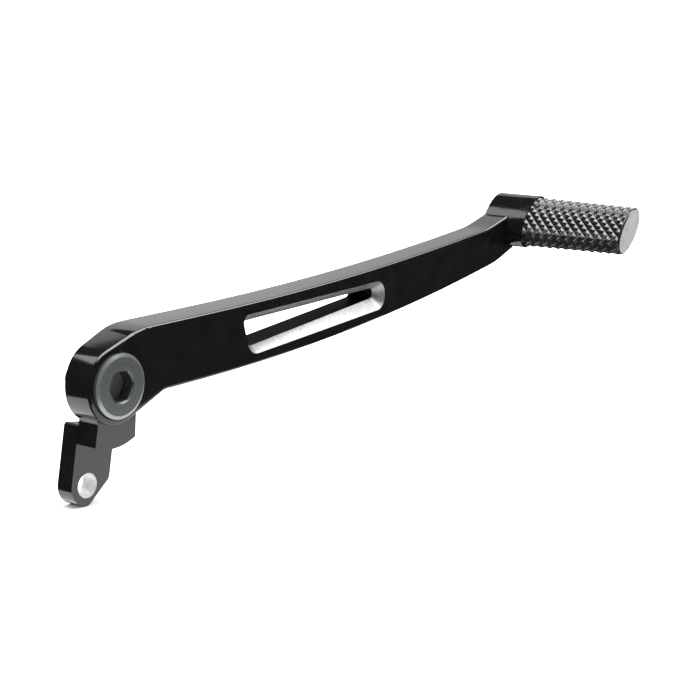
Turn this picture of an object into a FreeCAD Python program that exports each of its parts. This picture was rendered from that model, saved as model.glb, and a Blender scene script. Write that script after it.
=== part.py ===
import FreeCAD, Part
import Sketcher
import math
import os

# Motorcycle gear shift lever: a machined arm that swings on two ball bearings around a pivot bolt.
#
# Frame: millimetres. The origin is on the pivot axis, in the plane of the rear spacer's free face,
# where the lever seats on its bracket and the bolt's thread begins.
# +X runs along the arm to the toe peg, +Y points in towards the motorcycle, +Z is up.
# The sub-parts are drawn with Y = 0 in the plane of the hub's outer face, and each is then moved
# back by origin_depth.

document = FreeCAD.newDocument("gear_shift_lever")
sheet = document.addObject("Spreadsheet::Sheet", "dimensions")

DIMENSIONS = {
    "origin_depth": 12.4,
    # arm and hub, seen from the outer side
    "hub_radius": 10.8,
    "hub_depth": 11.8,
    "hub_edge_depth": 9.2,
    "hub_slant_end": 8,
    "arm_end_depth": 9.6,
    "arm_taper_start": 34,
    "arm_taper_end": 184,
    "arm_top": 14.3,
    "arm_bottom": 4.45,
    "hub_top_slope": 18,
    "hub_bottom_slope": 22,
    "hub_top_blend": 30,
    "hub_bottom_blend": 6,
    "top_bend_radius": 1380,
    "bottom_bend_radius": 915,
    "top_bend_middle": 101,
    "bottom_bend_middle": 100,
    "top_rise_back": 17.5,
    "top_rise_up": 7.9,
    "bottom_rise_back": 12.5,
    "bottom_rise_up": 14.4,
    "rise_blend": 40,
    "boss_meet_back": 1.5,
    "top_meet_up": 12.2,
    "bottom_meet_up": 18.3,
    "edge_round": 0.9,
    # lightening slot
    "slot_left": 50.0,
    "slot_right": 118.3,
    "slot_margin_top": 3.2,
    "slot_margin_bottom": 2.9,
    "slot_bevel_depth": 3.0,
    "slot_bevel_top": 2.4,
    "slot_bevel_bottom": 1.9,
    "slot_bevel_end": 2.8,
    "slot_draft_top": 0.4,
    "slot_draft_bottom": 0.3,
    "slot_top_fall": 1.2,
    "slot_floor_rise": 1.7,
    "slot_back_rise": 1.7,
    "slot_draft_end": 3.1,
    "slot_left_lean": 0.27,
    "slot_left_top_corner": 2.4,
    "slot_left_bottom_corner": 4.2,
    "slot_end_round": 0.45,
    "slot_floor_corner_scale": 0.65,
    # neck and linkage lug, in a frame turned about the pivot
    "lug_tilt": 11,
    "lug_left": 3.2,
    "lug_right": 10.6,
    "neck_front": 2.0,
    "neck_radius": 17.6,
    "neck_left": 4.0,
    "neck_root_round": 3.5,
    "neck_root_sink": 0.2,
    "neck_root_depth": 6.6,
    "neck_top": 2.0,
    "neck_top_right": 9.2,
    "lug_front": 10.2,
    "lug_thickness": 5.6,
    "lug_top": 12.0,
    "linkage_across": 2.6,
    "linkage_down": 28.9,
    "linkage_hole_radius": 3.5,
    "lug_corner_down": 27.0,
    "lug_tip_wall": 5.8,
    "lug_foot_across": 3.8,
    "lug_corner_blend": 2.4,
    "lug_top_blend": 1.0,
    "lug_groove_width": 0.8,
    "lug_groove_depth": 2.4,
    # toe peg and its boss
    "peg_across": 195.8,
    "peg_up": 23.4,
    "peg_tilt": 47.5,
    "peg_half_length": 9.9,
    "peg_half_width": 5.3,
    "peg_end_scale": 0.94,
    "boss_wall": 0.45,
    "boss_reach": 7.0,
    "peg_reach": 45.0,
    "peg_end_chamfer": 0.5,
    # bore of the hub
    "counterbore_radius": 9.3,
    "counterbore_depth": 2.8,
    "bearing_radius": 7.5,
    "bearing_bore_radius": 5.0,
    "bearing_width": 2.4,
    "front_bearing_start": 3.2,
    "rib_radius": 6.7,
    "rib_width": 0.5,
    "wave_space": 0.5,
    "fit_gap": 0.01,
    # rolling elements
    "ball_radius": 0.7,
    "ball_count": 14,
    "race_wall": 0.75,
    "cage_wall": 0.5,
    "cage_width": 1.9,
    "groove_clearance": 0.04,
    "pocket_clearance": 0.06,
    # pivot bolt
    "head_radius": 9.0,
    "head_proud": 1.3,
    "head_bevel": 1.0,
    "head_bevel_depth": 0.55,
    "head_sunk": 2.5,
    "collar_radius": 6.2,
    "shim_thickness": 0.3,
    "socket_across_flats": 8.0,
    "socket_depth": 4.0,
    "socket_mouth_radius": 4.75,
    "socket_mouth_depth": 0.4,
    "thread_radius": 4.0,
    "thread_end": 17.4,
    "thread_tip": 0.8,
    "relief_radius": 3.6,
    "shoulder_short": 0.2,
    # rear spacer, shim, washers and seals
    "spacer_radius": 6.1,
    "rear_spacer_length": 3.4,
    "inner_spacer_wall": 0.7,
    "wave_thickness": 0.15,
    "wave_count": 3,
    "seal_section": 0.5,
    "front_seal_thickness": 0.4,
    # fasteners of the toe peg
    "peg_screw_radius": 3.0,
    "peg_screw_head_radius": 4.9,
    "peg_screw_head_height": 3.3,
    "peg_screw_recess": 4.6,
    "peg_screw_thread_depth": 10.0,
    "peg_screw_socket_flats": 4.0,
    "peg_screw_socket_depth": 2.0,
    "peg_washer_thickness": 1.0,
    "dowel_radius": 1.25,
    "dowel_length": 8.0,
    "dowel_spacing": 6.6,
    "hole_play": 0.2,
    "split_width": 0.6,
}

THROUGH = 30    # longer than any solid is thick, for cuts that go right through


def fill_sheet():
    """Put each driving dimension in a row of the sheet: its name in column A, its value in column B."""
    for row, (alias, value) in enumerate(DIMENSIONS.items(), start=1):
        sheet.set(f"A{row}", alias)
        sheet.set(f"B{row}", str(value))
        sheet.setAlias(f"B{row}", alias)
    document.recompute()


def size(alias):
    """Read one driving dimension from the sheet."""
    return float(sheet.get(alias))


def bind(item, **expressions):
    """Bind properties of a document object to expressions, where a bare name is a cell of the sheet."""
    for name, expression in expressions.items():
        item.setExpression(name, expression)


fill_sheet()


# ---------------------------------------------------------------- outlines

def lug_point(across, down):
    """A point of the lug's own frame, turned about the pivot, as X and Z of the part."""
    tilt = math.radians(size("lug_tilt"))
    x = across * math.cos(tilt) - down * math.sin(tilt)
    z = -across * math.sin(tilt) - down * math.cos(tilt)
    return x, z


def peg_point(along, sideways):
    """A point of the peg's oval frame, along its long axis and across it, as X and Z of the part."""
    tilt = math.radians(size("peg_tilt"))
    x = size("peg_across") + along * math.cos(tilt) - sideways * math.sin(tilt)
    z = size("peg_up") + along * math.sin(tilt) + sideways * math.cos(tilt)
    return x, z


def rounded_outline(corners):
    """Closed outline through corners given as (x, z, radius): straight runs joined by tangent arcs."""
    pieces = []
    joints = []
    count = len(corners)
    for index, (x, z, radius) in enumerate(corners):
        corner = FreeCAD.Vector(x, z, 0)
        before = FreeCAD.Vector(*corners[index - 1][:2], 0) - corner
        after = FreeCAD.Vector(*corners[(index + 1) % count][:2], 0) - corner
        before.normalize()
        after.normalize()
        if radius == 0:
            joints.append((corner, corner, corner))
            continue
        half_angle = before.getAngle(after) / 2
        run = radius / math.tan(half_angle)
        middle_direction = (before + after).normalize()
        to_middle = radius / math.sin(half_angle) - radius
        joints.append((corner + before * run, corner + middle_direction * to_middle, corner + after * run))
    for index, (start, middle, end) in enumerate(joints):
        if start.distanceToPoint(end) > 1e-6:
            pieces.append(Part.Arc(start, middle, end))
        next_start = joints[(index + 1) % count][0]
        if end.distanceToPoint(next_start) > 1e-6:
            pieces.append(Part.LineSegment(end, next_start))
    return pieces


def arm_corners():
    """Corners of the arm between the hub circle and the boss of the toe peg."""
    hub = size("hub_radius")
    top = size("arm_top")
    bottom = -size("arm_bottom")
    top_turn = math.radians(90 + size("hub_top_slope"))
    bottom_turn = math.radians(-90 + size("hub_bottom_slope"))
    top_leave = (hub * math.cos(top_turn), hub * math.sin(top_turn))
    bottom_leave = (hub * math.cos(bottom_turn), hub * math.sin(bottom_turn))
    top_start = top_leave[0] + (top - top_leave[1]) / math.tan(math.radians(size("hub_top_slope")))
    bottom_start = bottom_leave[0] + (bottom - bottom_leave[1]) / math.tan(
        math.radians(size("hub_bottom_slope")))
    peg_x = size("peg_across")
    top_rise = (peg_x - size("top_rise_back"), top + size("top_rise_up"))
    bottom_rise = (peg_x - size("bottom_rise_back"), bottom + size("bottom_rise_up"))
    meet_x = peg_x - size("boss_meet_back")
    return [
        (*top_leave, 0),
        (top_start, top, size("hub_top_blend")),
        (size("top_bend_middle"), top, size("top_bend_radius")),
        (*top_rise, size("rise_blend")),
        (meet_x, top + size("top_meet_up"), 0),
        (meet_x, bottom + size("bottom_meet_up"), 0),
        (*bottom_rise, size("rise_blend")),
        (size("bottom_bend_middle"), bottom, size("bottom_bend_radius")),
        (bottom_start, bottom, size("hub_bottom_blend")),
        (*bottom_leave, 0),
    ]


def bend_height(x, side):
    """Height at x of the arm's top or bottom edge, which is level at first and then follows a long arc."""
    level = size("arm_top") if side == "top" else -size("arm_bottom")
    middle, radius = size(f"{side}_bend_middle"), size(f"{side}_bend_radius")
    run = size("peg_across") - size(f"{side}_rise_back") - middle
    start = middle - radius * math.tan(math.atan2(size(f"{side}_rise_up"), run) / 2)
    if x <= start:
        return level
    return level + radius - math.sqrt(radius ** 2 - (x - start) ** 2)


def slot_corners(top_inset, bottom_inset, end_inset, corner_scale, right_rise):
    """Corners of the lightening slot, shrunk by insets from its outline in the outer face."""
    left = size("slot_left") + end_inset
    right = size("slot_right") - end_inset

    def top_edge(x):
        return bend_height(x, "top") - size("slot_margin_top") - top_inset

    def bottom_edge(x):
        return bend_height(x, "bottom") + size("slot_margin_bottom") + bottom_inset

    lean = size("slot_left_lean") * (top_edge(left) - bottom_edge(left))
    end_height = top_edge(right) - size("slot_top_fall") - bottom_edge(right) - right_rise
    end_radius = size("slot_end_round") * end_height
    return [
        (left, top_edge(left), size("slot_left_top_corner") * corner_scale),
        (right, top_edge(right) - size("slot_top_fall"), end_radius),
        (right, bottom_edge(right) + right_rise, end_radius),
        (left + lean, bottom_edge(left + lean), size("slot_left_bottom_corner") * corner_scale),
    ]


# ---------------------------------------------------------------- feature helpers

def plane_of(body, role):
    """One of a body's own origin planes, found by its role."""
    for feature in body.Origin.OriginFeatures:
        if feature.Role == role:
            return feature
    raise ValueError(role)


def side_sketch(body, name, depth="0"):
    """A sketch seen from the outer side: its x is X, its y is Z, and it lies at Y = depth."""
    sketch = body.newObject("Sketcher::SketchObject", name)
    sketch.AttachmentSupport = [(plane_of(body, "XZ_Plane"), "")]
    sketch.MapMode = "FlatFace"
    sketch.setExpression("AttachmentOffset.Base.z", f"-({depth})")
    return sketch


def add_circle(sketch, x, z, radius_expression):
    """A circle whose radius is bound to the sheet."""
    index = sketch.addGeometry(Part.Circle(FreeCAD.Vector(x, z, 0), FreeCAD.Vector(0, 0, 1), 1.0))
    constraint = sketch.addConstraint(Sketcher.Constraint("Radius", index, 1.0))
    sketch.setExpression(f"Constraints[{constraint}]", radius_expression)
    centre = Sketcher.Constraint("DistanceX", -1, 1, index, 3, x)
    height = Sketcher.Constraint("DistanceY", -1, 1, index, 3, z)
    if x or z:
        sketch.addConstraint([centre, height])
    else:
        sketch.addConstraint(Sketcher.Constraint("Coincident", index, 3, -1, 1))


def pad(body, name, sketch, length_expression):
    """Material from the sketch's plane towards +Y."""
    feature = body.newObject("PartDesign::Pad", name)
    feature.Profile = sketch
    feature.Reversed = True
    feature.setExpression("Length", length_expression)
    sketch.Visibility = False
    document.recompute()
    return feature


def pocket(body, name, sketch, length_expression, least_volume=1e-3):
    """A cut from the sketch's plane towards +Y, which must take some material away."""
    before = body.Shape.Volume
    feature = body.newObject("PartDesign::Pocket", name)
    feature.Profile = sketch
    feature.setExpression("Length", length_expression)
    sketch.Visibility = False
    document.recompute()
    if before - body.Shape.Volume < least_volume:
        raise ValueError(f"{name} cuts nothing")
    return feature


def cylinder(name, radius, length, start="0"):
    """A cylinder along +Y from Y = start, centred on the pivot axis."""
    item = document.addObject("Part::Cylinder", name)
    bind(item, Radius=radius, Height=length)
    item.Placement.Rotation = FreeCAD.Rotation(FreeCAD.Vector(1, 0, 0), -90)
    item.setExpression("Placement.Base.y", start)
    return item


def cone(name, start_radius, end_radius, length, start="0"):
    """A cone along +Y from Y = start, centred on the pivot axis."""
    item = document.addObject("Part::Cone", name)
    bind(item, Radius1=start_radius, Radius2=end_radius, Height=length)
    item.Placement.Rotation = FreeCAD.Rotation(FreeCAD.Vector(1, 0, 0), -90)
    item.setExpression("Placement.Base.y", start)
    return item


def torus(name, ring_radius, section_radius, start="0"):
    """A torus around the pivot axis, with its middle plane at Y = start."""
    item = document.addObject("Part::Torus", name)
    bind(item, Radius1=ring_radius, Radius2=section_radius)
    item.Placement.Rotation = FreeCAD.Rotation(FreeCAD.Vector(1, 0, 0), -90)
    item.setExpression("Placement.Base.y", start)
    return item


def hexagon(name, across_flats, length, start="0"):
    """A hexagonal prism along +Y from Y = start, centred on the pivot axis."""
    item = document.addObject("Part::Prism", name)
    item.Polygon = 6
    bind(item, Circumradius=f"({across_flats}) / sqrt(3)", Height=length)
    item.Placement.Rotation = FreeCAD.Rotation(FreeCAD.Vector(1, 0, 0), -90)
    item.setExpression("Placement.Base.y", start)
    return item


def cut(name, base, tool):
    """Base less tool."""
    item = document.addObject("Part::Cut", name)
    item.Base = base
    item.Tool = tool
    return item


def fuse(name, *shapes):
    """All the shapes as one object."""
    item = document.addObject("Part::MultiFuse", name)
    item.Shapes = list(shapes)
    return item


def ring(name, inner_radius, outer_radius, width, start):
    """A plain ring around the pivot axis."""
    outside = cylinder(f"{name}_outside", outer_radius, width, start)
    inside = cylinder(f"{name}_inside", inner_radius, width, start)
    return cut(name, outside, inside)


def at_peg(item):
    """Move an object that was made on the pivot axis across to the toe peg's axis."""
    item.setExpression("Placement.Base.x", "dimensions.peg_across")
    item.setExpression("Placement.Base.z", "dimensions.peg_up")
    return item


# Places along +Y that several sub-parts share.
FRONT_BEARING = "dimensions.front_bearing_start"
FRONT_BEARING_END = "dimensions.front_bearing_start + dimensions.bearing_width"
REAR_BEARING = f"{FRONT_BEARING_END} + dimensions.wave_space + dimensions.rib_width"
REAR_BEARING_END = f"{REAR_BEARING} + dimensions.bearing_width"
PEG_SEAT = "-dimensions.boss_reach"
SCREW_SEAT = "dimensions.arm_end_depth - dimensions.peg_screw_recess"


# ---------------------------------------------------------------- lever arm

def oval(sketch, half_length, half_width):
    """A tilted ellipse, the section of the peg and of its boss."""
    major = FreeCAD.Vector(*peg_point(half_length, 0), 0)
    minor = FreeCAD.Vector(*peg_point(0, half_width), 0)
    middle = FreeCAD.Vector(*peg_point(0, 0), 0)
    sketch.addGeometry(Part.Ellipse(major, minor, middle))


def add_arm_solids(body):
    """Hub, arm, boss of the peg, neck and lug, padded one after the other."""
    corners = arm_corners()
    ends = [FreeCAD.Vector(*corner[:2], 0) for corner in (corners[-1], corners[0])]
    hub_arc = Part.Arc(ends[0], FreeCAD.Vector(-size("hub_radius"), 0, 0), ends[1])
    arm = side_sketch(body, "arm_outline")
    arm.addGeometry(rounded_outline(corners)[:-1] + [hub_arc])
    pad(body, "arm_pad", arm, "dimensions.hub_depth")
    round_outer_edge(body)
    slant_the_hub(body)

    left, right = -size("neck_left"), size("lug_right")
    neck = side_sketch(body, "neck_outline", "dimensions.neck_front")
    edge = size("neck_radius")
    left_foot = lug_point(left, math.sqrt(edge ** 2 - left ** 2))
    right_foot = lug_point(right, math.sqrt(edge ** 2 - right ** 2))
    low_point = lug_point(0, edge)
    left_top = lug_point(left, size("neck_top"))
    right_top = lug_point(size("neck_top_right"), size("neck_top"))
    points = [FreeCAD.Vector(x, z, 0) for x, z in (left_top, left_foot, low_point, right_foot, right_top)]
    neck.addGeometry([
        Part.LineSegment(points[0], points[1]),
        Part.Arc(points[1], points[2], points[3]),
        Part.LineSegment(points[3], points[4]),
        Part.LineSegment(points[4], points[0]),
    ])
    pad(body, "neck_pad", neck, "dimensions.lug_front - dimensions.neck_front")
    add_neck_root(body)

    lug = side_sketch(body, "lug_outline", "dimensions.lug_front")
    lug.addGeometry(rounded_outline(lug_corners()))
    pad(body, "lug_pad", lug, "dimensions.lug_thickness")


def add_neck_root(body):
    """Rounded web that blends the hub's round side into the neck's left side."""
    left = -size("neck_left")
    root = size("neck_root_round")
    hub = size("hub_radius") - size("neck_root_sink")
    root_down = math.sqrt((hub + root) ** 2 - (left - root) ** 2)
    turn = math.atan2(root_down, root - left) / 2
    share = hub / (hub + root)
    places = [
        lug_point((left - root) * share, root_down * share),
        lug_point(left - root + root * math.cos(turn), root_down - root * math.sin(turn)),
        lug_point(left, root_down),
        lug_point(left / 2, root_down),
        lug_point(left / 2, size("neck_top")),
    ]
    points = [FreeCAD.Vector(x, z, 0) for x, z in places]
    web = side_sketch(body, "neck_root_outline", "dimensions.neck_front")
    web.addGeometry([Part.Arc(*points[:3])])
    for first, second in zip(points[2:], points[3:] + points[:1]):
        web.addGeometry([Part.LineSegment(first, second)])
    pad(body, "neck_root_pad", web, "dimensions.neck_root_depth")


def lug_corners():
    """Corners of the lug plate: straight on the left, wide at the top, rounded around the linkage hole."""
    left, right = -size("lug_left"), size("lug_right")
    foot = size("linkage_down") + size("lug_tip_wall")
    corners = [
        (left, size("lug_top"), size("lug_top_blend")),
        (right, size("lug_top"), size("lug_top_blend")),
        (right, size("lug_corner_down"), size("lug_corner_blend")),
        (size("lug_foot_across"), foot, size("lug_corner_blend")),
        (left, foot, size("lug_tip_wall")),
    ]
    return [(*lug_point(x, z), radius) for x, z, radius in corners]


def add_boss(body):
    """Oval boss that carries the toe peg, from in front of the outer face to the arm's thinner end."""
    boss = side_sketch(body, "boss_outline", PEG_SEAT)
    oval(boss, size("peg_half_length") + size("boss_wall"), size("peg_half_width") + size("boss_wall"))
    pad(body, "boss_pad", boss, "dimensions.boss_reach + dimensions.hub_depth")


def slant_inner_face(body, name, points, lowest):
    """Cut the inner face away behind a line given by points in plan, down to the lowest height."""
    wedge = body.newObject("Sketcher::SketchObject", f"{name}_outline")
    wedge.AttachmentSupport = [(plane_of(body, "XY_Plane"), "")]
    wedge.MapMode = "FlatFace"
    wedge.setExpression("AttachmentOffset.Base.z", f"dimensions.arm_top + {THROUGH}")
    corners = [FreeCAD.Vector(x, y, 0) for x, y in points]
    for first, second in zip(corners, corners[1:] + corners[:1]):
        wedge.addGeometry(Part.LineSegment(first, second))
    pocket(body, name, wedge, f"dimensions.arm_top + {THROUGH} - ({lowest})")


def slant_the_hub(body):
    """Make the hub thinner towards its far side, where the arm is not joined to it."""
    side, end = -size("hub_radius"), size("hub_slant_end")
    depth, edge_depth = size("hub_depth"), size("hub_edge_depth")
    points = [(side, edge_depth), (end, depth), (end, THROUGH), (side - 1, THROUGH), (side - 1, edge_depth)]
    slant_inner_face(body, "hub_slant", points, "-dimensions.hub_radius")


def taper_the_arm(body):
    """Make the arm thinner towards the peg."""
    start, end = size("arm_taper_start"), size("arm_taper_end")
    depth, end_depth = size("hub_depth"), size("arm_end_depth")
    beyond = end + THROUGH
    points = [(start, depth), (end, end_depth), (beyond, end_depth), (beyond, beyond), (start, beyond)]
    slant_inner_face(body, "arm_taper", points, f"-{THROUGH}")


def cut_slot(body):
    """Lightening slot: a wide bevel that opens to the outer face, and drafted walls behind it."""
    top, bottom, end = size("slot_bevel_top"), size("slot_bevel_bottom"), size("slot_bevel_end")
    scale = size("slot_floor_corner_scale")
    back_insets = (top + size("slot_draft_top"), bottom + size("slot_draft_bottom"),
                   end + size("slot_draft_end"))
    outlines = [
        ("slot_mouth", "0", (0, 0, 0, 1, 0)),
        ("slot_floor", "dimensions.slot_bevel_depth", (top, bottom, end, scale, size("slot_floor_rise"))),
        ("slot_back", "dimensions.hub_depth", (*back_insets, scale, size("slot_back_rise"))),
    ]
    sketches = []
    for name, depth, insets in outlines:
        sketch = side_sketch(body, name, depth)
        sketch.addGeometry(rounded_outline(slot_corners(*insets)))
        sketch.Visibility = False
        sketches.append(sketch)
    before = body.Shape.Volume
    slot = body.newObject("PartDesign::SubtractiveLoft", "slot")
    slot.Profile = sketches[0]
    slot.Sections = [(sketch, [""]) for sketch in sketches[1:]]
    slot.Ruled = True
    document.recompute()
    if before - body.Shape.Volume < 1:
        raise ValueError("slot cuts nothing")


def cut_bores(body):
    """Stepped bore of the hub, and the linkage hole."""
    bores = [
        ("counterbore", "0", "dimensions.counterbore_radius", "dimensions.counterbore_depth"),
        ("front_bearing_bore", "0", "dimensions.bearing_radius + dimensions.fit_gap",
         f"{FRONT_BEARING_END} + dimensions.wave_space"),
        ("rib_bore", "0", "dimensions.rib_radius", THROUGH),
        ("rear_bearing_bore", REAR_BEARING, "dimensions.bearing_radius + dimensions.fit_gap",
         THROUGH),
    ]
    for name, start, radius, length in bores:
        sketch = side_sketch(body, f"{name}_outline", start)
        add_circle(sketch, 0, 0, radius)
        pocket(body, name, sketch, str(length))

    linkage = side_sketch(body, "linkage_hole_outline")
    add_circle(linkage, *lug_point(size("linkage_across"), size("linkage_down")),
               "dimensions.linkage_hole_radius")
    pocket(body, "linkage_hole", linkage, str(THROUGH))


def cut_lug_groove(body):
    """Narrow groove between the neck and the lug plate, which stops at the round wall of the hub."""
    reach = size("hub_radius") + size("fit_gap")
    slope, tilt = math.radians(size("hub_bottom_slope")), math.radians(size("lug_tilt"))
    left, right = -size("lug_left") - 1, size("lug_right") + 1
    foot = size("lug_top") + size("lug_groove_depth")
    leave = FreeCAD.Vector(reach * math.sin(slope), -reach * math.cos(slope), 0)
    leave_across = leave.x * math.cos(tilt) - leave.y * math.sin(tilt)
    run = (right - leave_across) / math.cos(slope + tilt)
    along_arm = FreeCAD.Vector(math.cos(slope), math.sin(slope), 0)
    hub_left = FreeCAD.Vector(*lug_point(left, math.sqrt(reach ** 2 - left ** 2)), 0)
    corners = [hub_left, leave, leave + along_arm * run]
    corners += [FreeCAD.Vector(*lug_point(across, foot), 0) for across in (right, left)]
    hub_low = FreeCAD.Vector(*lug_point(0, reach), 0)
    groove = side_sketch(body, "lug_groove_outline", "dimensions.lug_front - dimensions.lug_groove_width")
    groove.addGeometry(Part.Arc(hub_left, hub_low, leave))
    for first, second in zip(corners[1:], corners[2:] + corners[:1]):
        groove.addGeometry(Part.LineSegment(first, second))
    pocket(body, "lug_groove", groove, "dimensions.lug_groove_width")


def cut_peg_fixings(body):
    """Recess and hole for the peg's screw, and two dowel holes, all parallel to the pivot."""
    recess = side_sketch(body, "screw_recess_outline", SCREW_SEAT)
    add_circle(recess, *peg_point(0, 0), "dimensions.peg_screw_head_radius + dimensions.hole_play")
    pocket(body, "screw_recess", recess, "dimensions.hub_depth")
    hole = side_sketch(body, "screw_hole_outline", PEG_SEAT)
    add_circle(hole, *peg_point(0, 0), "dimensions.peg_screw_radius + dimensions.hole_play")
    pocket(body, "screw_hole", hole, "dimensions.boss_reach + dimensions.hub_depth")
    dowels = side_sketch(body, "dowel_hole_outline", PEG_SEAT)
    for side in (-1, 1):
        add_circle(dowels, *peg_point(side * size("dowel_spacing"), 0),
                   "dimensions.dowel_radius + dimensions.fit_gap")
    pocket(body, "dowel_holes", dowels, "dimensions.dowel_length / 2 + dimensions.hole_play")


def round_outer_edge(body):
    """Round the edge of the outer face, all along hub and arm."""
    base = body.Tip
    shape = base.Shape
    names = []
    for index, edge in enumerate(shape.Edges, start=1):
        box = edge.BoundBox
        if abs(box.YMin) < 1e-6 and abs(box.YMax) < 1e-6:
            names.append(f"Edge{index}")
    rounding = body.newObject("PartDesign::Fillet", "outer_edge_round")
    rounding.Base = (base, names)
    rounding.setExpression("Radius", "dimensions.edge_round")
    document.recompute()
    if shape.Volume - body.Shape.Volume < 1:
        raise ValueError("outer_edge_round cuts nothing")


def make_lever_arm():
    """The one-piece machined arm with hub, boss, neck and lug."""
    body = document.addObject("PartDesign::Body", "lever_arm")
    add_arm_solids(body)
    add_boss(body)
    taper_the_arm(body)
    cut_slot(body)
    cut_bores(body)
    cut_lug_groove(body)
    cut_peg_fixings(body)
    return body


# ---------------------------------------------------------------- pivot

def make_pivot_bolt():
    """Low-headed bolt with a hexagon socket, a plain shoulder for the bearings, and a threaded end."""
    head_front = "-dimensions.head_proud"
    bevel_end = "-dimensions.head_proud + dimensions.head_bevel_depth"
    bevel = cone("bolt_head_bevel", "dimensions.head_radius - dimensions.head_bevel",
                 "dimensions.head_radius", "dimensions.head_bevel_depth", head_front)
    head = cylinder("bolt_head", "dimensions.head_radius",
                    "dimensions.head_proud - dimensions.head_bevel_depth + dimensions.head_sunk", bevel_end)
    collar = cylinder("bolt_collar", "dimensions.collar_radius",
                      f"{FRONT_BEARING} - dimensions.shim_thickness - dimensions.head_sunk",
                      "dimensions.head_sunk")
    shoulder_start = f"{FRONT_BEARING} - dimensions.shim_thickness"
    relief_start = f"{REAR_BEARING_END} - dimensions.shoulder_short"
    thread_start = f"{REAR_BEARING_END} + dimensions.rear_spacer_length"
    shoulder = cylinder("bolt_shoulder", "dimensions.bearing_bore_radius - dimensions.fit_gap",
                        f"{relief_start} - ({shoulder_start})", shoulder_start)
    relief = cylinder("bolt_relief", "dimensions.relief_radius", f"{thread_start} - ({relief_start})",
                      relief_start)
    thread = cylinder("bolt_thread", "dimensions.thread_radius",
                      f"dimensions.thread_end - dimensions.thread_tip - ({thread_start})", thread_start)
    tip = cone("bolt_tip", "dimensions.thread_radius", "dimensions.thread_radius - dimensions.thread_tip",
               "dimensions.thread_tip", "dimensions.thread_end - dimensions.thread_tip")
    solid = fuse("bolt_solid", bevel, head, collar, shoulder, relief, thread, tip)
    socket = hexagon("bolt_socket", "dimensions.socket_across_flats", "dimensions.socket_depth", head_front)
    mouth = cone("bolt_socket_mouth", "dimensions.socket_mouth_radius",
                 "dimensions.socket_mouth_radius - dimensions.socket_mouth_depth",
                 "dimensions.socket_mouth_depth", head_front)
    return cut("pivot_bolt", solid, fuse("bolt_socket_tool", socket, mouth))


def make_ball_bearing(place, start):
    """One ball bearing as four sub-parts: inner ring, outer ring, ball set and cage."""
    bore, outside = "dimensions.bearing_bore_radius", "dimensions.bearing_radius"
    wall, width = "dimensions.race_wall", "dimensions.bearing_width"
    pitch = f"({bore} + {outside}) / 2"
    middle = f"{start} + {width} / 2"
    groove = "dimensions.ball_radius + dimensions.groove_clearance"
    inner = ring(f"{place}_inner_blank", bore, f"{bore} + {wall}", width, start)
    inner_ring = cut(f"{place}_inner_ring", inner, torus(f"{place}_inner_groove", pitch, groove, middle))
    outer = ring(f"{place}_outer_blank", f"{outside} - {wall}", outside, width, start)
    outer_ring = cut(f"{place}_outer_ring", outer, torus(f"{place}_outer_groove", pitch, groove, middle))
    balls = fuse(f"{place}_balls", *ball_circle(place, middle))
    pockets = fuse(f"{place}_pockets", *pocket_circle(place, middle))
    cage_blank = ring(f"{place}_cage_blank", f"{pitch} - dimensions.cage_wall / 2",
                      f"{pitch} + dimensions.cage_wall / 2", "dimensions.cage_width",
                      f"{middle} - dimensions.cage_width / 2")
    cage = cut(f"{place}_cage", cage_blank, pockets)
    return [inner_ring, outer_ring, balls, cage]


def ball_circle(place, middle):
    """Equal balls spaced evenly around the pivot axis, in the middle plane of a bearing."""
    spheres = []
    pitch = (size("bearing_bore_radius") + size("bearing_radius")) / 2
    for index in range(int(size("ball_count"))):
        angle = 2 * math.pi * index / size("ball_count")
        sphere = document.addObject("Part::Sphere", f"{place}_ball_{index + 1}")
        bind(sphere, Radius="dimensions.ball_radius")
        sphere.Placement.Base = FreeCAD.Vector(pitch * math.cos(angle), 0, pitch * math.sin(angle))
        sphere.setExpression("Placement.Base.y", middle)
        spheres.append(sphere)
    return spheres


def pocket_circle(place, middle):
    """Round holes that point out from the pivot axis, one for each ball, to cut from a cage."""
    holes = []
    for index in range(int(size("ball_count"))):
        angle = 360 * index / size("ball_count")
        hole = document.addObject("Part::Cylinder", f"{place}_pocket_{index + 1}")
        bind(hole, Radius="dimensions.ball_radius + dimensions.pocket_clearance",
             Height="dimensions.bearing_radius")
        outwards = FreeCAD.Vector(math.cos(math.radians(angle)), 0, math.sin(math.radians(angle)))
        hole.Placement.Rotation = FreeCAD.Rotation(FreeCAD.Vector(0, 0, 1), outwards)
        hole.Placement.Base = outwards * (size("bearing_bore_radius") / 2)
        hole.setExpression("Placement.Base.y", middle)
        holes.append(hole)
    return holes


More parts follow.
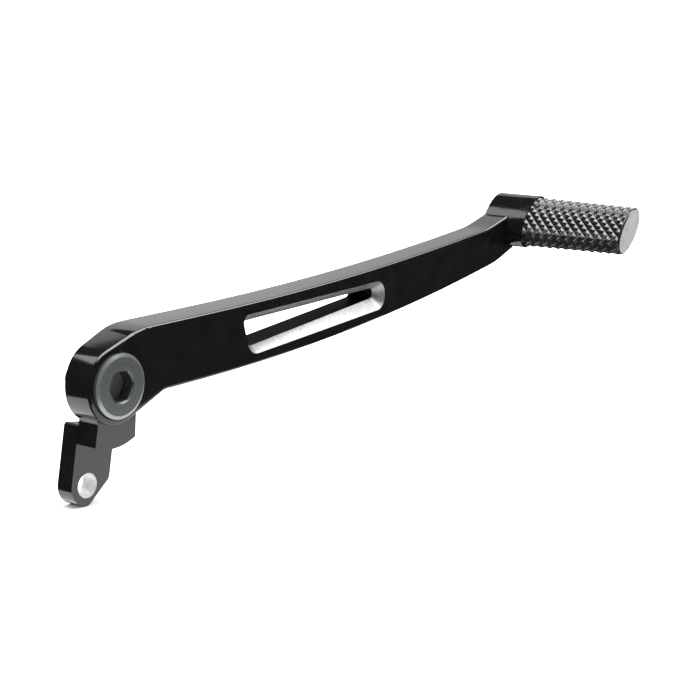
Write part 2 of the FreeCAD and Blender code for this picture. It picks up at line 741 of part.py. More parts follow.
def make_pivot_rings():
    """The plain rings of the pivot: shim, spacers, wave washer and seals."""
    bore = "dimensions.bearing_bore_radius"
    shim = ring("head_shim", f"{bore} + dimensions.groove_clearance",
                "dimensions.collar_radius - dimensions.hole_play", "dimensions.shim_thickness",
                f"{FRONT_BEARING} - dimensions.shim_thickness")
    spacer = ring("bearing_spacer", f"{bore} + dimensions.fit_gap", f"{bore} + dimensions.inner_spacer_wall",
                  "dimensions.wave_space + dimensions.rib_width", FRONT_BEARING_END)
    rear = ring("rear_spacer", "dimensions.thread_radius + dimensions.pocket_clearance",
                "dimensions.spacer_radius", "dimensions.rear_spacer_length", REAR_BEARING_END)
    front_seal = ring("front_seal", "dimensions.collar_radius + dimensions.pocket_clearance",
                      "dimensions.bearing_radius",
                      "dimensions.front_seal_thickness",
                      f"{FRONT_BEARING} - dimensions.front_seal_thickness")
    seal_ring = torus("rear_seal_ring", "dimensions.spacer_radius + dimensions.seal_section",
                      "dimensions.seal_section", f"{REAR_BEARING_END} + dimensions.seal_section")
    seal_bore = cylinder("rear_seal_bore", "dimensions.spacer_radius + dimensions.groove_clearance",
                         "dimensions.rear_spacer_length", REAR_BEARING_END)
    rear_seal = cut("rear_seal", seal_ring, seal_bore)
    return [shim, spacer, rear, front_seal, rear_seal]


def make_wave_washer():
    """Wavy spring ring that pushes the front bearing's outer ring away from the hub's rib."""
    inner = size("rib_radius") + size("pocket_clearance")
    outer = size("bearing_radius") - size("pocket_clearance")
    low = size("front_bearing_start") + size("bearing_width")
    space = size("wave_space")
    thickness = size("wave_thickness")
    swing = (space - thickness) / 2
    steps = 12 * int(size("wave_count"))
    points = []
    for index in range(steps):
        angle = 2 * math.pi * index / steps
        points.append((angle, low + space / 2 + swing * math.cos(size("wave_count") * angle)))

    def wave_edge(radius, shift):
        curve = Part.BSplineCurve()
        places = [FreeCAD.Vector(radius * math.cos(a), y + shift, radius * math.sin(a)) for a, y in points]
        curve.interpolate(Points=places, PeriodicFlag=True)
        return curve.toShape()

    half = thickness / 2
    edges = {(side, shift): wave_edge(radius, shift)
             for side, radius in (("inner", inner), ("outer", outer)) for shift in (-half, half)}
    faces = [
        Part.makeRuledSurface(edges["inner", -half], edges["outer", -half]),
        Part.makeRuledSurface(edges["inner", half], edges["outer", half]),
        Part.makeRuledSurface(edges["inner", -half], edges["inner", half]),
        Part.makeRuledSurface(edges["outer", -half], edges["outer", half]),
    ]
    shell = Part.Shell(faces)
    solid = Part.Solid(shell)
    if solid.Volume < 0:
        solid.reverse()
    washer = document.addObject("Part::Feature", "wave_washer")
    washer.Shape = solid
    return washer


# ---------------------------------------------------------------- toe peg

def make_toe_peg():
    """Oval peg with a slight taper, a chamfered end, a threaded hole and two dowel holes."""
    body = document.addObject("PartDesign::Body", "toe_peg")
    length, width, end = size("peg_half_length"), size("peg_half_width"), size("peg_end_scale")
    chamfer = size("peg_end_chamfer")
    sections = [
        ("peg_root", PEG_SEAT, length, width),
        ("peg_shoulder", "-dimensions.peg_reach + dimensions.peg_end_chamfer", length * end, width * end),
        ("peg_end", "-dimensions.peg_reach", length * end - chamfer, width * end - chamfer),
    ]
    sketches = []
    for name, depth, half_length, half_width in sections:
        sketch = side_sketch(body, name, depth)
        oval(sketch, half_length, half_width)
        sketches.append(sketch)
    solid = body.newObject("PartDesign::AdditiveLoft", "peg_loft")
    solid.Profile = sketches[0]
    solid.Sections = [(sketch, [""]) for sketch in sketches[1:]]
    solid.Ruled = True
    document.recompute()

    thread_hole_depth = "dimensions.peg_screw_thread_depth + dimensions.peg_screw_radius"
    hole = side_sketch(body, "peg_thread_outline", f"{PEG_SEAT} - ({thread_hole_depth})")
    add_circle(hole, *peg_point(0, 0), "dimensions.peg_screw_radius + dimensions.fit_gap")
    pocket(body, "peg_thread_hole", hole, thread_hole_depth)
    dowel_hole_depth = "dimensions.dowel_length / 2 + dimensions.hole_play"
    dowels = side_sketch(body, "peg_dowel_outline", f"{PEG_SEAT} - ({dowel_hole_depth})")
    for side in (-1, 1):
        add_circle(dowels, *peg_point(side * size("dowel_spacing"), 0),
                   "dimensions.dowel_radius + dimensions.fit_gap")
    pocket(body, "peg_dowel_holes", dowels, dowel_hole_depth)
    return body


def make_peg_screw():
    """Low socket screw that holds the peg from behind."""
    head_start = f"{SCREW_SEAT} + dimensions.peg_washer_thickness"
    tip = f"{PEG_SEAT} - dimensions.peg_screw_thread_depth"
    shank = at_peg(cylinder("screw_shank", "dimensions.peg_screw_radius",
                            f"{head_start} - ({tip})", tip))
    head = at_peg(cylinder("screw_head", "dimensions.peg_screw_head_radius",
                           "dimensions.peg_screw_head_height", head_start))
    socket = at_peg(hexagon("screw_socket", "dimensions.peg_screw_socket_flats",
                            "dimensions.peg_screw_socket_depth",
                            f"{head_start} + dimensions.peg_screw_head_height"
                            " - dimensions.peg_screw_socket_depth"))
    return cut("peg_screw", fuse("screw_solid", shank, head), socket)


def make_peg_lock_washer():
    """Split spring washer under the screw's head."""
    outside = at_peg(cylinder("washer_outside", "dimensions.peg_screw_head_radius - dimensions.hole_play",
                              "dimensions.peg_washer_thickness", SCREW_SEAT))
    inside = at_peg(cylinder("washer_inside", "dimensions.peg_screw_radius + dimensions.pocket_clearance",
                             "dimensions.peg_washer_thickness", SCREW_SEAT))
    blank = cut("washer_blank", outside, inside)
    split = document.addObject("Part::Box", "washer_split")
    bind(split, Length="dimensions.peg_screw_head_radius + 1", Width="dimensions.peg_washer_thickness + 2",
         Height="dimensions.split_width")
    split.setExpression("Placement.Base.x", "dimensions.peg_across")
    split.setExpression("Placement.Base.y", f"{SCREW_SEAT} - 1")
    split.setExpression("Placement.Base.z", "dimensions.peg_up - dimensions.split_width / 2")
    return cut("peg_lock_washer", blank, split)


def make_peg_dowels():
    """Two dowel pins that keep the peg from turning."""
    pins = []
    for index, side in enumerate((-1, 1), start=1):
        x, z = peg_point(side * size("dowel_spacing"), 0)
        pin = cylinder(f"dowel_{index}", "dimensions.dowel_radius", "dimensions.dowel_length",
                       f"{PEG_SEAT} - dimensions.dowel_length / 2")
        pin.Placement.Base.x = x
        pin.Placement.Base.z = z
        pins.append(pin)
    return fuse("peg_dowels", *pins)


# ---------------------------------------------------------------- build and write

def check_document():
    """Stop if any object of the document failed."""
    for item in document.Objects:
        if "Invalid" in item.State or "Error" in item.State:
            raise ValueError(f"{item.Name}: {item.State}")


def place_sub_parts(sub_parts):
    """Label each sub-part and move it from the drawing's zero to the part's origin."""
    for item in sub_parts:
        item.Label = item.Name
        item.Placement.Base = FreeCAD.Vector(0, -size("origin_depth"), 0)
    document.recompute()


def write_sub_parts(sub_parts):
    """Write each sub-part's shape to its own file, once it is known to be sound."""
    os.makedirs("parts", exist_ok=True)
    for item in sub_parts:
        shape = item.Shape
        if shape.isNull() or not shape.isValid():
            raise ValueError(f"{item.Label} has no sound shape")
        print(f"{item.Label}: {len(shape.Solids)} solid(s), {shape.Volume:.1f} mm3")
        shape.exportStep(f"parts/{item.Label}.step")


sub_parts = [make_lever_arm(), make_pivot_bolt()]
sub_parts += make_ball_bearing("front_bearing", FRONT_BEARING)
sub_parts += make_ball_bearing("rear_bearing", REAR_BEARING)
sub_parts += make_pivot_rings()
sub_parts += [make_wave_washer(), make_toe_peg(), make_peg_screw(), make_peg_lock_washer(),
              make_peg_dowels()]
place_sub_parts(sub_parts)
check_document()
write_sub_parts(sub_parts)
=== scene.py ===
import math

import bmesh
import bpy
from mathutils import Matrix, Vector


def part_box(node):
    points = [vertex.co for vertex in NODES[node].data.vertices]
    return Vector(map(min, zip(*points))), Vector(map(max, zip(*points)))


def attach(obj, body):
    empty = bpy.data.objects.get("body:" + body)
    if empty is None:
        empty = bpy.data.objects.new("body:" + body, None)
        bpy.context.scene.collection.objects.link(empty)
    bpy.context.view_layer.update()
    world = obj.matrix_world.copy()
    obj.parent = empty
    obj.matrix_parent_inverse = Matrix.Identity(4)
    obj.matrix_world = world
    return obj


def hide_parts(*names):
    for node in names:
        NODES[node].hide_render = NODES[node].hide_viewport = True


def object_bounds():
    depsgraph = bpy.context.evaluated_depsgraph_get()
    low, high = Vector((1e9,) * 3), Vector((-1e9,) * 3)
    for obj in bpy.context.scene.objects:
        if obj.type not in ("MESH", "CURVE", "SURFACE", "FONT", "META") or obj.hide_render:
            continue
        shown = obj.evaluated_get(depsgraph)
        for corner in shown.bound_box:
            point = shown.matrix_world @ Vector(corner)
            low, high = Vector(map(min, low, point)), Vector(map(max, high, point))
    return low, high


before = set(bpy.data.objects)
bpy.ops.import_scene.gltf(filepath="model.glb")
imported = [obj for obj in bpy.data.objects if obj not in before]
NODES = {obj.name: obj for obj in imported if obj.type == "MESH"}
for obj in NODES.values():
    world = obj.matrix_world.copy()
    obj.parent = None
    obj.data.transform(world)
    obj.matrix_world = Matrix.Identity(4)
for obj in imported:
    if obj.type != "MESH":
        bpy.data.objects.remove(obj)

CAD_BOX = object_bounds()
MM = 0.001

# Places that the looks need. The pivot axis is X = Z = 0.
HUB_FACE_Y = -12.4 * MM
LINKAGE_X, LINKAGE_Z = -2.96 * MM, -28.87 * MM
LINKAGE_RADIUS = 3.5 * MM
SLOT_LEFT, SLOT_RIGHT = 49.5 * MM, 118.8 * MM
SLOT_BEVEL_DEPTH = 3.0 * MM
BOLT_RIM_RADIUS = 7.6 * MM
BOLT_SOCKET_RADIUS = 4.8 * MM
PEG_X, PEG_Z = 195.8 * MM, 23.4 * MM
PEG_TILT = math.radians(47.5)
PEG_HALF_LENGTH, PEG_HALF_WIDTH = 9.9 * MM, 5.3 * MM
PEG_END_SCALE = 0.94

# The slot's middle line is level at first, then rises as the run squared over a length in metres.
SLOT_MIDDLE_Z = 5.0 * MM
SLOT_RISE_START = 30 * MM
SLOT_RISE_LENGTH = 2.3
SLOT_REACH = 7.6 * MM
# How far a face of the slot's bevel turns towards the outer side, from a wall to a flat face.
BEVEL_LEAST_TURN, BEVEL_MOST_TURN = 0.3, 0.97
WALL_MOST_TURN = 0.6
HOLE_MOST_TURN = 0.3

# Edges sharper than this many degrees stay crisp.
CRISP_EDGE = 28


# ---------------------------------------------------------------- node helpers

class Tree:
    """A material's node tree with short calls for adding and linking nodes."""

    def __init__(self, name):
        self.material = bpy.data.materials.new(name)
        self.material.use_nodes = True
        self.nodes = self.material.node_tree.nodes
        self.links = self.material.node_tree.links
        self.nodes.clear()
        self.shader = self.add("ShaderNodeBsdfPrincipled")
        output = self.add("ShaderNodeOutputMaterial")
        self.link(self.shader.outputs[0], output.inputs["Surface"])

    def add(self, kind, **settings):
        node = self.nodes.new(kind)
        for name, value in settings.items():
            setattr(node, name, value)
        return node

    def link(self, source, target):
        self.links.new(source, target)

    def set(self, **values):
        """Set the shader's own sockets, where a name's underscores stand for spaces."""
        for name, value in values.items():
            self.shader.inputs[name.replace("_", " ")].default_value = value

    def place(self, scale=(1, 1, 1)):
        """Object coordinates, stretched."""
        coordinates = self.add("ShaderNodeTexCoord")
        mapping = self.add("ShaderNodeMapping")
        mapping.inputs["Scale"].default_value = scale
        self.link(coordinates.outputs["Object"], mapping.inputs["Vector"])
        return mapping.outputs["Vector"]

    def noise(self, vector, scale, detail=2.0, roughness=0.5):
        node = self.add("ShaderNodeTexNoise")
        node.inputs["Scale"].default_value = scale
        node.inputs["Detail"].default_value = detail
        node.inputs["Roughness"].default_value = roughness
        self.link(vector, node.inputs["Vector"])
        return node.outputs["Fac"]

    def remap(self, value, low, high, from_low=0.3, from_high=0.7):
        node = self.add("ShaderNodeMapRange")
        node.inputs["From Min"].default_value = from_low
        node.inputs["From Max"].default_value = from_high
        node.inputs["To Min"].default_value = low
        node.inputs["To Max"].default_value = high
        self.link(value, node.inputs["Value"])
        return node.outputs["Result"]

    def ramp(self, value, dark, light, start=0.3, end=0.7):
        node = self.add("ShaderNodeValToRGB")
        node.color_ramp.elements[0].position = start
        node.color_ramp.elements[0].color = (*dark, 1)
        node.color_ramp.elements[1].position = end
        node.color_ramp.elements[1].color = (*light, 1)
        self.link(value, node.inputs["Fac"])
        return node.outputs["Color"]

    def bump(self, height, strength, distance, after=None):
        node = self.add("ShaderNodeBump")
        node.inputs["Strength"].default_value = strength
        node.inputs["Distance"].default_value = distance
        self.link(height, node.inputs["Height"])
        if after is not None:
            self.link(after, node.inputs["Normal"])
        return node.outputs["Normal"]

    def finish(self, colour=None, roughness=None, normal=None):
        if colour is not None:
            self.link(colour, self.shader.inputs["Base Color"])
        if roughness is not None:
            self.link(roughness, self.shader.inputs["Roughness"])
        if normal is not None:
            self.link(normal, self.shader.inputs["Normal"])
        return self.material


# ---------------------------------------------------------------- materials

def anodised_gloss():
    """Deep black anodising over machined aluminium: glossy, with a fine grain in the sheen."""
    tree = Tree("anodised_gloss")
    fine = tree.noise(tree.place(), 5200, 3, 0.6)
    broad = tree.noise(tree.place(), 160, 2)
    tree.set(Metallic=0.0, IOR=1.66)
    colour = tree.ramp(broad, (0.0016, 0.0018, 0.0022), (0.0034, 0.0036, 0.0042))
    roughness = tree.remap(fine, 0.07, 0.15)
    normal = tree.bump(fine, 0.14, 0.00001)
    return tree.finish(colour, roughness, normal)


def anodised_dull():
    """The same anodising inside the slot, where the cutter left it matt and deep black."""
    tree = Tree("anodised_dull")
    fine = tree.noise(tree.place(), 3800, 3, 0.6)
    broad = tree.noise(tree.place(), 240, 2)
    tree.set(Metallic=0.0, IOR=1.3, Specular_IOR_Level=0.04)
    colour = tree.ramp(broad, (0.0014, 0.0015, 0.0018), (0.0034, 0.0036, 0.0040))
    roughness = tree.remap(fine, 0.42, 0.58)
    normal = tree.bump(fine, 0.2, 0.00003)
    return tree.finish(colour, roughness, normal)


def bare_aluminium(name, dark, light, metallic, scale):
    """Bare machined aluminium with the fine lines that the cutter leaves."""
    tree = Tree(name)
    lines = tree.noise(tree.place(scale), 1.0, 3, 0.6)
    tree.set(Metallic=metallic)
    colour = tree.ramp(lines, dark, light, 0.35, 0.65)
    roughness = tree.remap(lines, 0.38, 0.54)
    normal = tree.bump(lines, 0.35, 0.00004)
    return tree.finish(colour, roughness, normal)


def turned_steel(name, dark, light, smooth, rough, metallic, ring_scale=2600):
    """Steel with concentric turning marks around the pivot axis."""
    tree = Tree(name)
    coordinates = tree.add("ShaderNodeTexCoord")
    split = tree.add("ShaderNodeSeparateXYZ")
    tree.link(coordinates.outputs["Object"], split.inputs[0])
    join = tree.add("ShaderNodeCombineXYZ")
    tree.link(split.outputs["X"], join.inputs["X"])
    tree.link(split.outputs["Z"], join.inputs["Y"])
    length = tree.add("ShaderNodeVectorMath", operation="LENGTH")
    tree.link(join.outputs[0], length.inputs[0])
    rings = tree.add("ShaderNodeCombineXYZ")
    tree.link(length.outputs["Value"], rings.inputs["X"])
    marks = tree.noise(rings.outputs[0], ring_scale, 3, 0.6)
    grain = tree.noise(tree.place(), 2600, 2)
    tree.set(Metallic=metallic)
    colour = tree.ramp(marks, dark, light)
    roughness = tree.remap(grain, smooth, rough)
    normal = tree.bump(marks, 0.18, 0.00004)
    return tree.finish(colour, roughness, normal)


def fine_metal(name, dark, light, smooth, rough, grain_scale=1800, metallic=1.0):
    """Plain metal with a fine even grain."""
    tree = Tree(name)
    grain = tree.noise(tree.place(), grain_scale, 3, 0.6)
    broad = tree.noise(tree.place(), grain_scale / 12, 2)
    tree.set(Metallic=metallic)
    colour = tree.ramp(broad, dark, light)
    roughness = tree.remap(grain, smooth, rough)
    normal = tree.bump(grain, 0.08, 0.00002)
    return tree.finish(colour, roughness, normal)


def nitrile_rubber():
    """Black seal rubber with a faint moulded grain."""
    tree = Tree("nitrile_rubber")
    grain = tree.noise(tree.place(), 2400, 3, 0.6)
    tree.set(Metallic=0.0, IOR=1.5)
    colour = tree.ramp(grain, (0.012, 0.012, 0.012), (0.022, 0.022, 0.022))
    roughness = tree.remap(grain, 0.5, 0.68)
    normal = tree.bump(grain, 0.2, 0.00004)
    return tree.finish(colour, roughness, normal)


def knurl_black():
    """Black anodising on the peg's knurl, satin on the cut faces of the diamonds."""
    tree = Tree("knurl_black")
    grain = tree.noise(tree.place(), 3000, 3, 0.6)
    broad = tree.noise(tree.place(), 260, 2)
    tree.set(Metallic=0.0, IOR=1.8)
    colour = tree.ramp(broad, (0.005, 0.005, 0.0055), (0.011, 0.011, 0.012))
    roughness = tree.remap(grain, 0.16, 0.28)
    normal = tree.bump(grain, 0.15, 0.00003)
    return tree.finish(colour, roughness, normal)


GLOSS = anodised_gloss()
DULL = anodised_dull()
BARE = bare_aluminium("bare_bevel", (0.33, 0.33, 0.34), (0.60, 0.60, 0.61), 0.9, (3600, 120, 1400))
# Bare aluminium for the linkage hole's wall, lighter and less metallic than the bevel's: real bare metal
# with a painted sheen added.
BARE_HOLE_PAINTED_SHEEN = bare_aluminium("bare_hole_painted_sheen", (0.62, 0.62, 0.63), (0.90, 0.90, 0.91), 0.45, (900, 2600, 900))
BOLT = turned_steel("bolt_face", (0.066, 0.073, 0.070), (0.118, 0.129, 0.125), 0.28, 0.40, 0.6)
# A lighter copy of the bolt steel for the rim chamfer: a painted highlight, not a different finish.
BOLT_RIM_PAINTED_HIGHLIGHT = turned_steel("bolt_rim_painted_highlight", (0.19, 0.20, 0.20), (0.36, 0.37, 0.37), 0.26, 0.38, 0.8)
# A darker copy of the bolt steel for the hex socket: painted shade in the recess.
BOLT_SOCKET_PAINTED_SHADE = turned_steel("bolt_socket", (0.05, 0.053, 0.052), (0.11, 0.116, 0.114), 0.22, 0.34, 0.8)
SCREW = fine_metal("black_screw", (0.03, 0.03, 0.03), (0.06, 0.06, 0.06), 0.28, 0.4)
PEG_END = fine_metal("peg_end_face", (0.38, 0.38, 0.385), (0.46, 0.46, 0.465), 0.42, 0.55, 3600, 0.5)
BEARING = fine_metal("bearing_steel", (0.58, 0.59, 0.6), (0.72, 0.73, 0.74), 0.1, 0.2)
SPRING = fine_metal("spring_steel", (0.3, 0.31, 0.32), (0.42, 0.43, 0.44), 0.25, 0.38)
BRASS = fine_metal("cage_brass", (0.62, 0.44, 0.18), (0.75, 0.55, 0.25), 0.22, 0.35)
RUBBER = nitrile_rubber()
KNURL = knurl_black()


# ---------------------------------------------------------------- CAD nodes

def smooth_by_angle(mesh, degrees):
    """Shade round faces smoothly and keep real edges crisp."""
    limit = math.radians(degrees)
    shape = bmesh.new()
    shape.from_mesh(mesh)
    for face in shape.faces:
        face.smooth = True
    for edge in shape.edges:
        flat = len(edge.link_faces) == 2 and edge.calc_face_angle(0) < limit
        edge.smooth = flat
    shape.to_mesh(mesh)
    shape.free()


def give(node, material):
    """Put a material on a CAD node's slots."""
    slots = NODES[node].data.materials
    if not slots:
        slots.append(material)
    for index in range(len(slots)):
        slots[index] = material


def copy_of(node, name, body):
    """A welded copy of a CAD node's mesh that stands for it, ready for finer surface work."""
    mesh = NODES[node].data.copy()
    mesh.name = name
    mesh.materials.clear()
    piece = bpy.data.objects.new(name, mesh)
    bpy.context.scene.collection.objects.link(piece)
    if mesh.has_custom_normals:
        mesh.attributes.remove(mesh.attributes["custom_normal"])
    shape = bmesh.new()
    shape.from_mesh(mesh)
    bmesh.ops.remove_doubles(shape, verts=shape.verts, dist=1e-7)
    shape.to_mesh(mesh)
    shape.free()
    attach(piece, body)
    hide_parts(node)
    return piece


def finish_arm():
    """The machined arm, with its bare bevel, its bare hole wall in a lighter copy of bare aluminium that
    adds a painted sheen, and its matt slot walls, marked face by face.
    """
    arm = copy_of("lever_arm", "machined_arm", "lever")
    for material in (GLOSS, BARE, BARE_HOLE_PAINTED_SHEEN, DULL):
        arm.data.materials.append(material)
    for face in arm.data.polygons:
        if is_slot_bevel(face):
            face.material_index = 1
        # The hole's wall gets the lighter aluminium: painted sheen.
        elif is_linkage_wall(face):
            face.material_index = 2
        elif is_slot_wall(face):
            face.material_index = 3
    smooth_by_angle(arm.data, CRISP_EDGE)


def in_slot(face):
    """Whether a face lies in the slot, away from the arm's own top and bottom."""
    centre = face.center
    run = max(0.0, centre.x - SLOT_RISE_START)
    middle = SLOT_MIDDLE_Z + run ** 2 / SLOT_RISE_LENGTH
    return SLOT_LEFT < centre.x < SLOT_RIGHT and abs(centre.z - middle) < SLOT_REACH


def is_slot_bevel(face):
    """Whether a face belongs to the slot's bevel: slanted, near the outer face."""
    slanted = BEVEL_LEAST_TURN < -face.normal.y < BEVEL_MOST_TURN
    return in_slot(face) and slanted and face.center.y < HUB_FACE_Y + SLOT_BEVEL_DEPTH


def is_slot_wall(face):
    """Whether a face belongs to the slot's walls behind the bevel."""
    steep = abs(face.normal.y) < WALL_MOST_TURN
    return in_slot(face) and steep and face.center.y > HUB_FACE_Y + SLOT_BEVEL_DEPTH


def is_linkage_wall(face):
    """Whether a face belongs to the wall of the linkage hole."""
    away = math.hypot(face.center.x - LINKAGE_X, face.center.z - LINKAGE_Z)
    near = LINKAGE_RADIUS * 1.05
    return away < near and abs(face.normal.y) < HOLE_MOST_TURN


def finish_bolt():
    """The pivot bolt, with a lighter steel colour on its rim chamfer as a painted highlight and a darker
    steel colour in its socket as painted shade, marked face by face.
    """
    bolt = copy_of("pivot_bolt", "turned_bolt", "pivot")
    for material in (BOLT, BOLT_RIM_PAINTED_HIGHLIGHT, BOLT_SOCKET_PAINTED_SHADE):
        bolt.data.materials.append(material)
    for face in bolt.data.polygons:
        away = math.hypot(face.center.x, face.center.z)
        outward = -face.normal.y
        # Chamfer faces round the rim get the lighter steel: painted highlight.
        if away > BOLT_RIM_RADIUS and 0.2 < outward < 0.99:
            face.material_index = 1
        elif away < BOLT_SOCKET_RADIUS and face.center.y > HUB_FACE_Y and outward < 0.95:
            # Faces inside the socket get the darker steel: painted shade.
            face.material_index = 2
    smooth_by_angle(bolt.data, CRISP_EDGE)


# ---------------------------------------------------------------- toe peg

def ellipse_angles(count):
    """Angles that divide the peg's oval into equal lengths of outline."""
    steps = 7200
    lengths = [0.0]
    for step in range(steps):
        angle = 2 * math.pi * (step + 0.5) / steps
        speed = math.hypot(PEG_HALF_LENGTH * math.sin(angle), PEG_HALF_WIDTH * math.cos(angle))
        lengths.append(lengths[-1] + speed)
    angles, step = [], 0
    for index in range(count):
        wanted = lengths[-1] * index / count
        while lengths[step + 1] < wanted:
            step += 1
        part = (wanted - lengths[step]) / (lengths[step + 1] - lengths[step])
        angles.append(2 * math.pi * (step + part) / steps)
    return angles


def peg_place(angle, y, y_root, y_end, inset):
    """A point on the peg's tapered oval, sunk below its surface by the inset."""
    scale = 1 + (PEG_END_SCALE - 1) * (y - y_root) / (y_end - y_root)
    along = (PEG_HALF_LENGTH * scale - inset) * math.cos(angle)
    across = (PEG_HALF_WIDTH * scale - inset) * math.sin(angle)
    x = PEG_X + along * math.cos(PEG_TILT) - across * math.sin(PEG_TILT)
    z = PEG_Z + along * math.sin(PEG_TILT) + across * math.cos(PEG_TILT)
    return Vector((x, y, z))


def knurled_body(shape, y_root, y_end, y_rim):
    """Diamond knurl: two crossed sets of V grooves cut into the oval, closed flat at both ends."""
    diamonds_around, pitch, steps = 15, 3.3 * MM, 6
    depth, flat_share = 0.55 * MM, 0.78
    ring = 2 * steps * diamonds_around
    step_length = pitch / (2 * steps)
    angles = ellipse_angles(ring)
    rows = int((y_root - y_rim) / pitch * 2 * steps) + 2 * steps
    places = {}

    def height(value):
        return 1 - abs(2 * (value / steps % 1) - 1)

    def vertex(i, j):
        key = (i % ring, j)
        if key not in places:
            p, q = (i + j) // 2, (i - j) // 2
            lift = min(height(p), height(q), flat_share) / flat_share
            y = y_root + pitch / 2 - step_length * j
            place = peg_place(angles[i % ring], y, y_root, y_end, depth * (1 - lift))
            places[key] = shape.verts.new(place)
        return places[key]

    for j in range(1, rows):
        for i in range(j % 2, ring, 2):
            corners = [vertex(i, j), vertex(i + 1, j + 1), vertex(i + 2, j), vertex(i + 1, j - 1)]
            p, q = (i + j) // 2, (i - j) // 2
            if (p - q) % steps == 0:
                shape.faces.new((corners[0], corners[1], corners[2]))
                shape.faces.new((corners[0], corners[2], corners[3]))
            else:
                shape.faces.new((corners[0], corners[1], corners[3]))
                shape.faces.new((corners[1], corners[2], corners[3]))
    close_flat(shape, y_root, 1)
    close_flat(shape, y_rim, -1)


def close_flat(shape, y, outwards):
    """Cut the knurled skin off square at a place along the peg, and fill the cut."""
    parts = shape.verts[:] + shape.edges[:] + shape.faces[:]
    bmesh.ops.bisect_plane(shape, geom=parts, dist=1e-7, plane_co=(0, y, 0),
                           plane_no=(0, outwards, 0), clear_outer=True)
    rim = [edge for edge in shape.edges if edge.is_boundary and abs(edge.verts[0].co.y - y) < 1e-6]
    bmesh.ops.edgeloop_fill(shape, edges=rim)


def peg_rim(shape, y_root, y_end, y_rim):
    """Plain rim and chamfered end face that close the knurl at the peg's free end."""
    count = 128
    rim_inset, end_inset, chamfer_length = 0.25 * MM, 0.65 * MM, 0.35 * MM
    angles = ellipse_angles(count)
    sections = [(y_rim, rim_inset), (y_end + chamfer_length, rim_inset), (y_end, end_inset)]
    loops = []
    for y, inset in sections:
        loops.append([shape.verts.new(peg_place(angle, y, y_root, y_end, inset)) for angle in angles])
    for first, second in zip(loops, loops[1:]):
        for index in range(count):
            after = (index + 1) % count
            shape.faces.new((first[index], second[index], second[after], first[after]))
    shape.faces.new(loops[0])
    end_face = shape.faces.new(list(reversed(loops[-1])))
    end_face.material_index = 1


def make_toe_peg():
    """The knurled toe peg, in place of the plain oval."""
    low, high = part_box("toe_peg")
    y_root, y_end = high[1], low[1]
    rim_width = 0.75 * MM
    y_rim = y_end + rim_width
    mesh = bpy.data.meshes.new("knurled_toe_peg")
    shape = bmesh.new()
    knurled_body(shape, y_root, y_end, y_rim)
    peg_rim(shape, y_root, y_end, y_rim)
    bmesh.ops.recalc_face_normals(shape, faces=shape.faces)
    shape.to_mesh(mesh)
    shape.free()
    mesh.materials.append(KNURL)
    mesh.materials.append(PEG_END)
    piece = bpy.data.objects.new("knurled_toe_peg", mesh)
    bpy.context.scene.collection.objects.link(piece)
    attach(piece, "lever")
    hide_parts("toe_peg")


finish_arm()
make_toe_peg()
finish_bolt()
give("peg_screw", SCREW)
for name in NODES:
    if "cage" in name:
        give(name, BRASS)
    elif "ring" in name or "balls" in name or name in ("bearing_spacer", "rear_spacer", "peg_dowels"):
        give(name, BEARING)
    elif "seal" in name:
        give(name, RUBBER)
    elif name in ("head_shim", "wave_washer", "peg_lock_washer"):
        give(name, SPRING)


# ---------------------------------------------------------------- stage, light and camera

FLOOR_Z = CAD_BOX[0][2]


def add_floor():
    """Wide pale floor under the lowest point of the lever."""
    mesh = bpy.data.meshes.new("floor")
    half = 30.0
    corners = [(x * half, y * half, FLOOR_Z) for x, y in ((-1, -1), (1, -1), (1, 1), (-1, 1))]
    mesh.from_pydata(corners, [], [(0, 1, 2, 3)])
    floor = bpy.data.objects.new("floor", mesh)
    bpy.context.scene.collection.objects.link(floor)
    tree = Tree("pale_floor")
    mottle = tree.noise(tree.place(), 40, 2)
    tree.set(Metallic=0.0, Roughness=0.9, Specular_IOR_Level=0.0)
    mesh.materials.append(tree.finish(tree.ramp(mottle, (0.90, 0.90, 0.90), (0.93, 0.93, 0.93))))
    floor.visible_glossy = False


def add_light(name, heading, elevation, distance, width, height, brightness):
    """Soft rectangular light in a direction from the hub, as bright as a card of that brightness."""
    target = Vector((0.03, 0, 0))
    heading, elevation = math.radians(heading), math.radians(elevation)
    away = Vector((math.cos(heading) * math.cos(elevation), math.sin(heading) * math.cos(elevation),
                   math.sin(elevation)))
    light = bpy.data.lights.new(name, "AREA")
    light.shape = "RECTANGLE"
    light.size = width
    light.size_y = height
    light.energy = brightness * math.pi * width * height
    item = bpy.data.objects.new(name, light)
    item.location = target + away * distance
    item.rotation_euler = (-away).to_track_quat("-Z", "Y").to_euler()
    item.visible_camera = False
    bpy.context.scene.collection.objects.link(item)


def add_card(name, corners, brightness):
    """Bright card that only reflections see, such as the lit paper under and beside the object."""
    mesh = bpy.data.meshes.new(name)
    mesh.from_pydata(corners, [], [(0, 1, 2, 3)])
    card = bpy.data.objects.new(name, mesh)
    bpy.context.scene.collection.objects.link(card)
    material = bpy.data.materials.new(name)
    material.use_nodes = True
    nodes, links = material.node_tree.nodes, material.node_tree.links
    nodes.clear()
    glow = nodes.new("ShaderNodeEmission")
    glow.inputs["Strength"].default_value = brightness
    links.new(glow.outputs[0], nodes.new("ShaderNodeOutputMaterial").inputs["Surface"])
    mesh.materials.append(material)
    card.visible_camera = False
    card.visible_diffuse = False
    card.visible_shadow = False
    card.visible_transmission = False


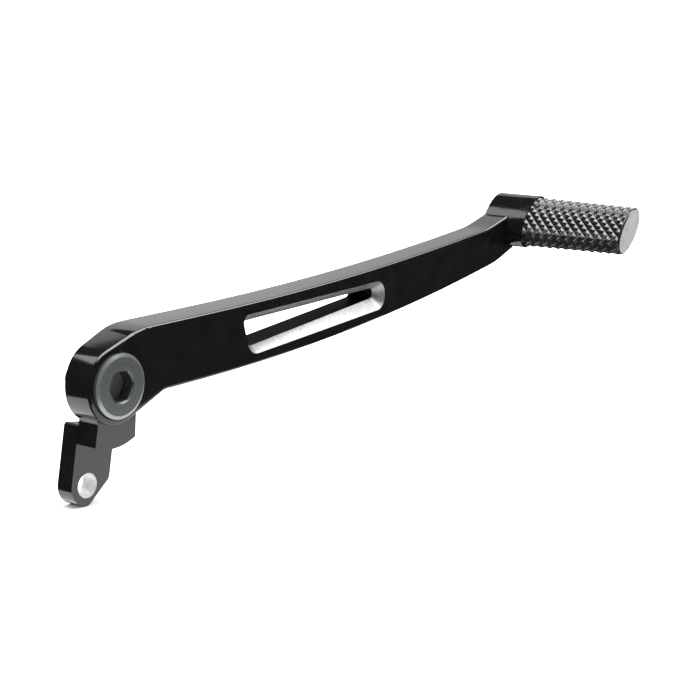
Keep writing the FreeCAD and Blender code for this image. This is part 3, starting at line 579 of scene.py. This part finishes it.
def add_world():
    """Even pale surroundings for the light, dark where glossy faces would mirror them."""
    world = bpy.data.worlds.new("studio")
    world.use_nodes = True
    bpy.context.scene.world = world
    nodes, links = world.node_tree.nodes, world.node_tree.links
    nodes.clear()
    output = nodes.new("ShaderNodeOutputWorld")
    pale = nodes.new("ShaderNodeBackground")
    pale.inputs["Color"].default_value = (1, 1, 1, 1)
    pale.inputs["Strength"].default_value = 1.2
    dark = nodes.new("ShaderNodeBackground")
    dark.inputs["Color"].default_value = (0.05, 0.05, 0.05, 1)
    path = nodes.new("ShaderNodeLightPath")
    mix = nodes.new("ShaderNodeMixShader")
    links.new(path.outputs["Is Glossy Ray"], mix.inputs["Fac"])
    links.new(pale.outputs[0], mix.inputs[1])
    links.new(dark.outputs[0], mix.inputs[2])
    links.new(mix.outputs[0], output.inputs["Surface"])


def add_camera():
    """Camera at the photograph's viewing angle."""
    heading, pitch = math.radians(52.0), math.radians(12.2)
    from_hub_face = Vector((-309.9, -320.5, 105.3)) * MM
    camera = bpy.data.cameras.new("camera")
    camera.lens = 87.43
    camera.sensor_width = 36
    camera.clip_start = 0.01
    camera.clip_end = 200
    item = bpy.data.objects.new("camera", camera)
    ahead = Vector((math.sin(heading) * math.cos(pitch), math.cos(heading) * math.cos(pitch),
                    -math.sin(pitch)))
    right = Vector((math.cos(heading), -math.sin(heading), 0))
    up = right.cross(ahead)
    turn = Matrix((right, up, -ahead)).transposed().to_4x4()
    place = from_hub_face + Vector((0, HUB_FACE_Y, 0))
    item.matrix_world = Matrix.Translation(place) @ turn
    bpy.context.scene.collection.objects.link(item)
    bpy.context.scene.camera = item


def near_floor_corners():
    """A patch of floor that starts under the hub and runs ahead of its outer face."""
    ahead, sideways = Vector((0.79, -0.615, 0)), Vector((0.615, 0.79, 0))
    start = Vector((0, 0, FLOOR_Z - 0.5 * MM))
    aside, reach = sideways * 0.06, ahead * 0.115
    return [start + aside, start - aside, start - aside + reach, start + aside + reach]


def under_floor_corners():
    """A wide patch far below the floor, behind the lever."""
    left, right, front, back, level = -1.30, 0.50, 0.5, 1.4, -0.9
    return [(left, front, level), (right, front, level), (right, back, level), (left, back, level)]


add_floor()
add_world()
add_camera()
bpy.context.scene.view_settings.view_transform = "Standard"

# The backdrop is what the arm's top mirrors; the top light is for the edges, the bevel and the knurl.
add_light("backdrop", heading=44, elevation=20, distance=1.4, width=0.80, height=0.95, brightness=0.85)
add_light("overhead", heading=107, elevation=51, distance=1.3, width=0.42, height=0.36, brightness=2.6)
add_light("top_light", heading=-27, elevation=74, distance=1.25, width=1.25, height=1.70, brightness=6.5)
add_light("rear_fill", heading=82, elevation=25, distance=1.3, width=0.70, height=0.45, brightness=3.0)
add_card("near_floor", near_floor_corners(), 1.5)
add_card("under_floor", under_floor_corners(), 1.9)
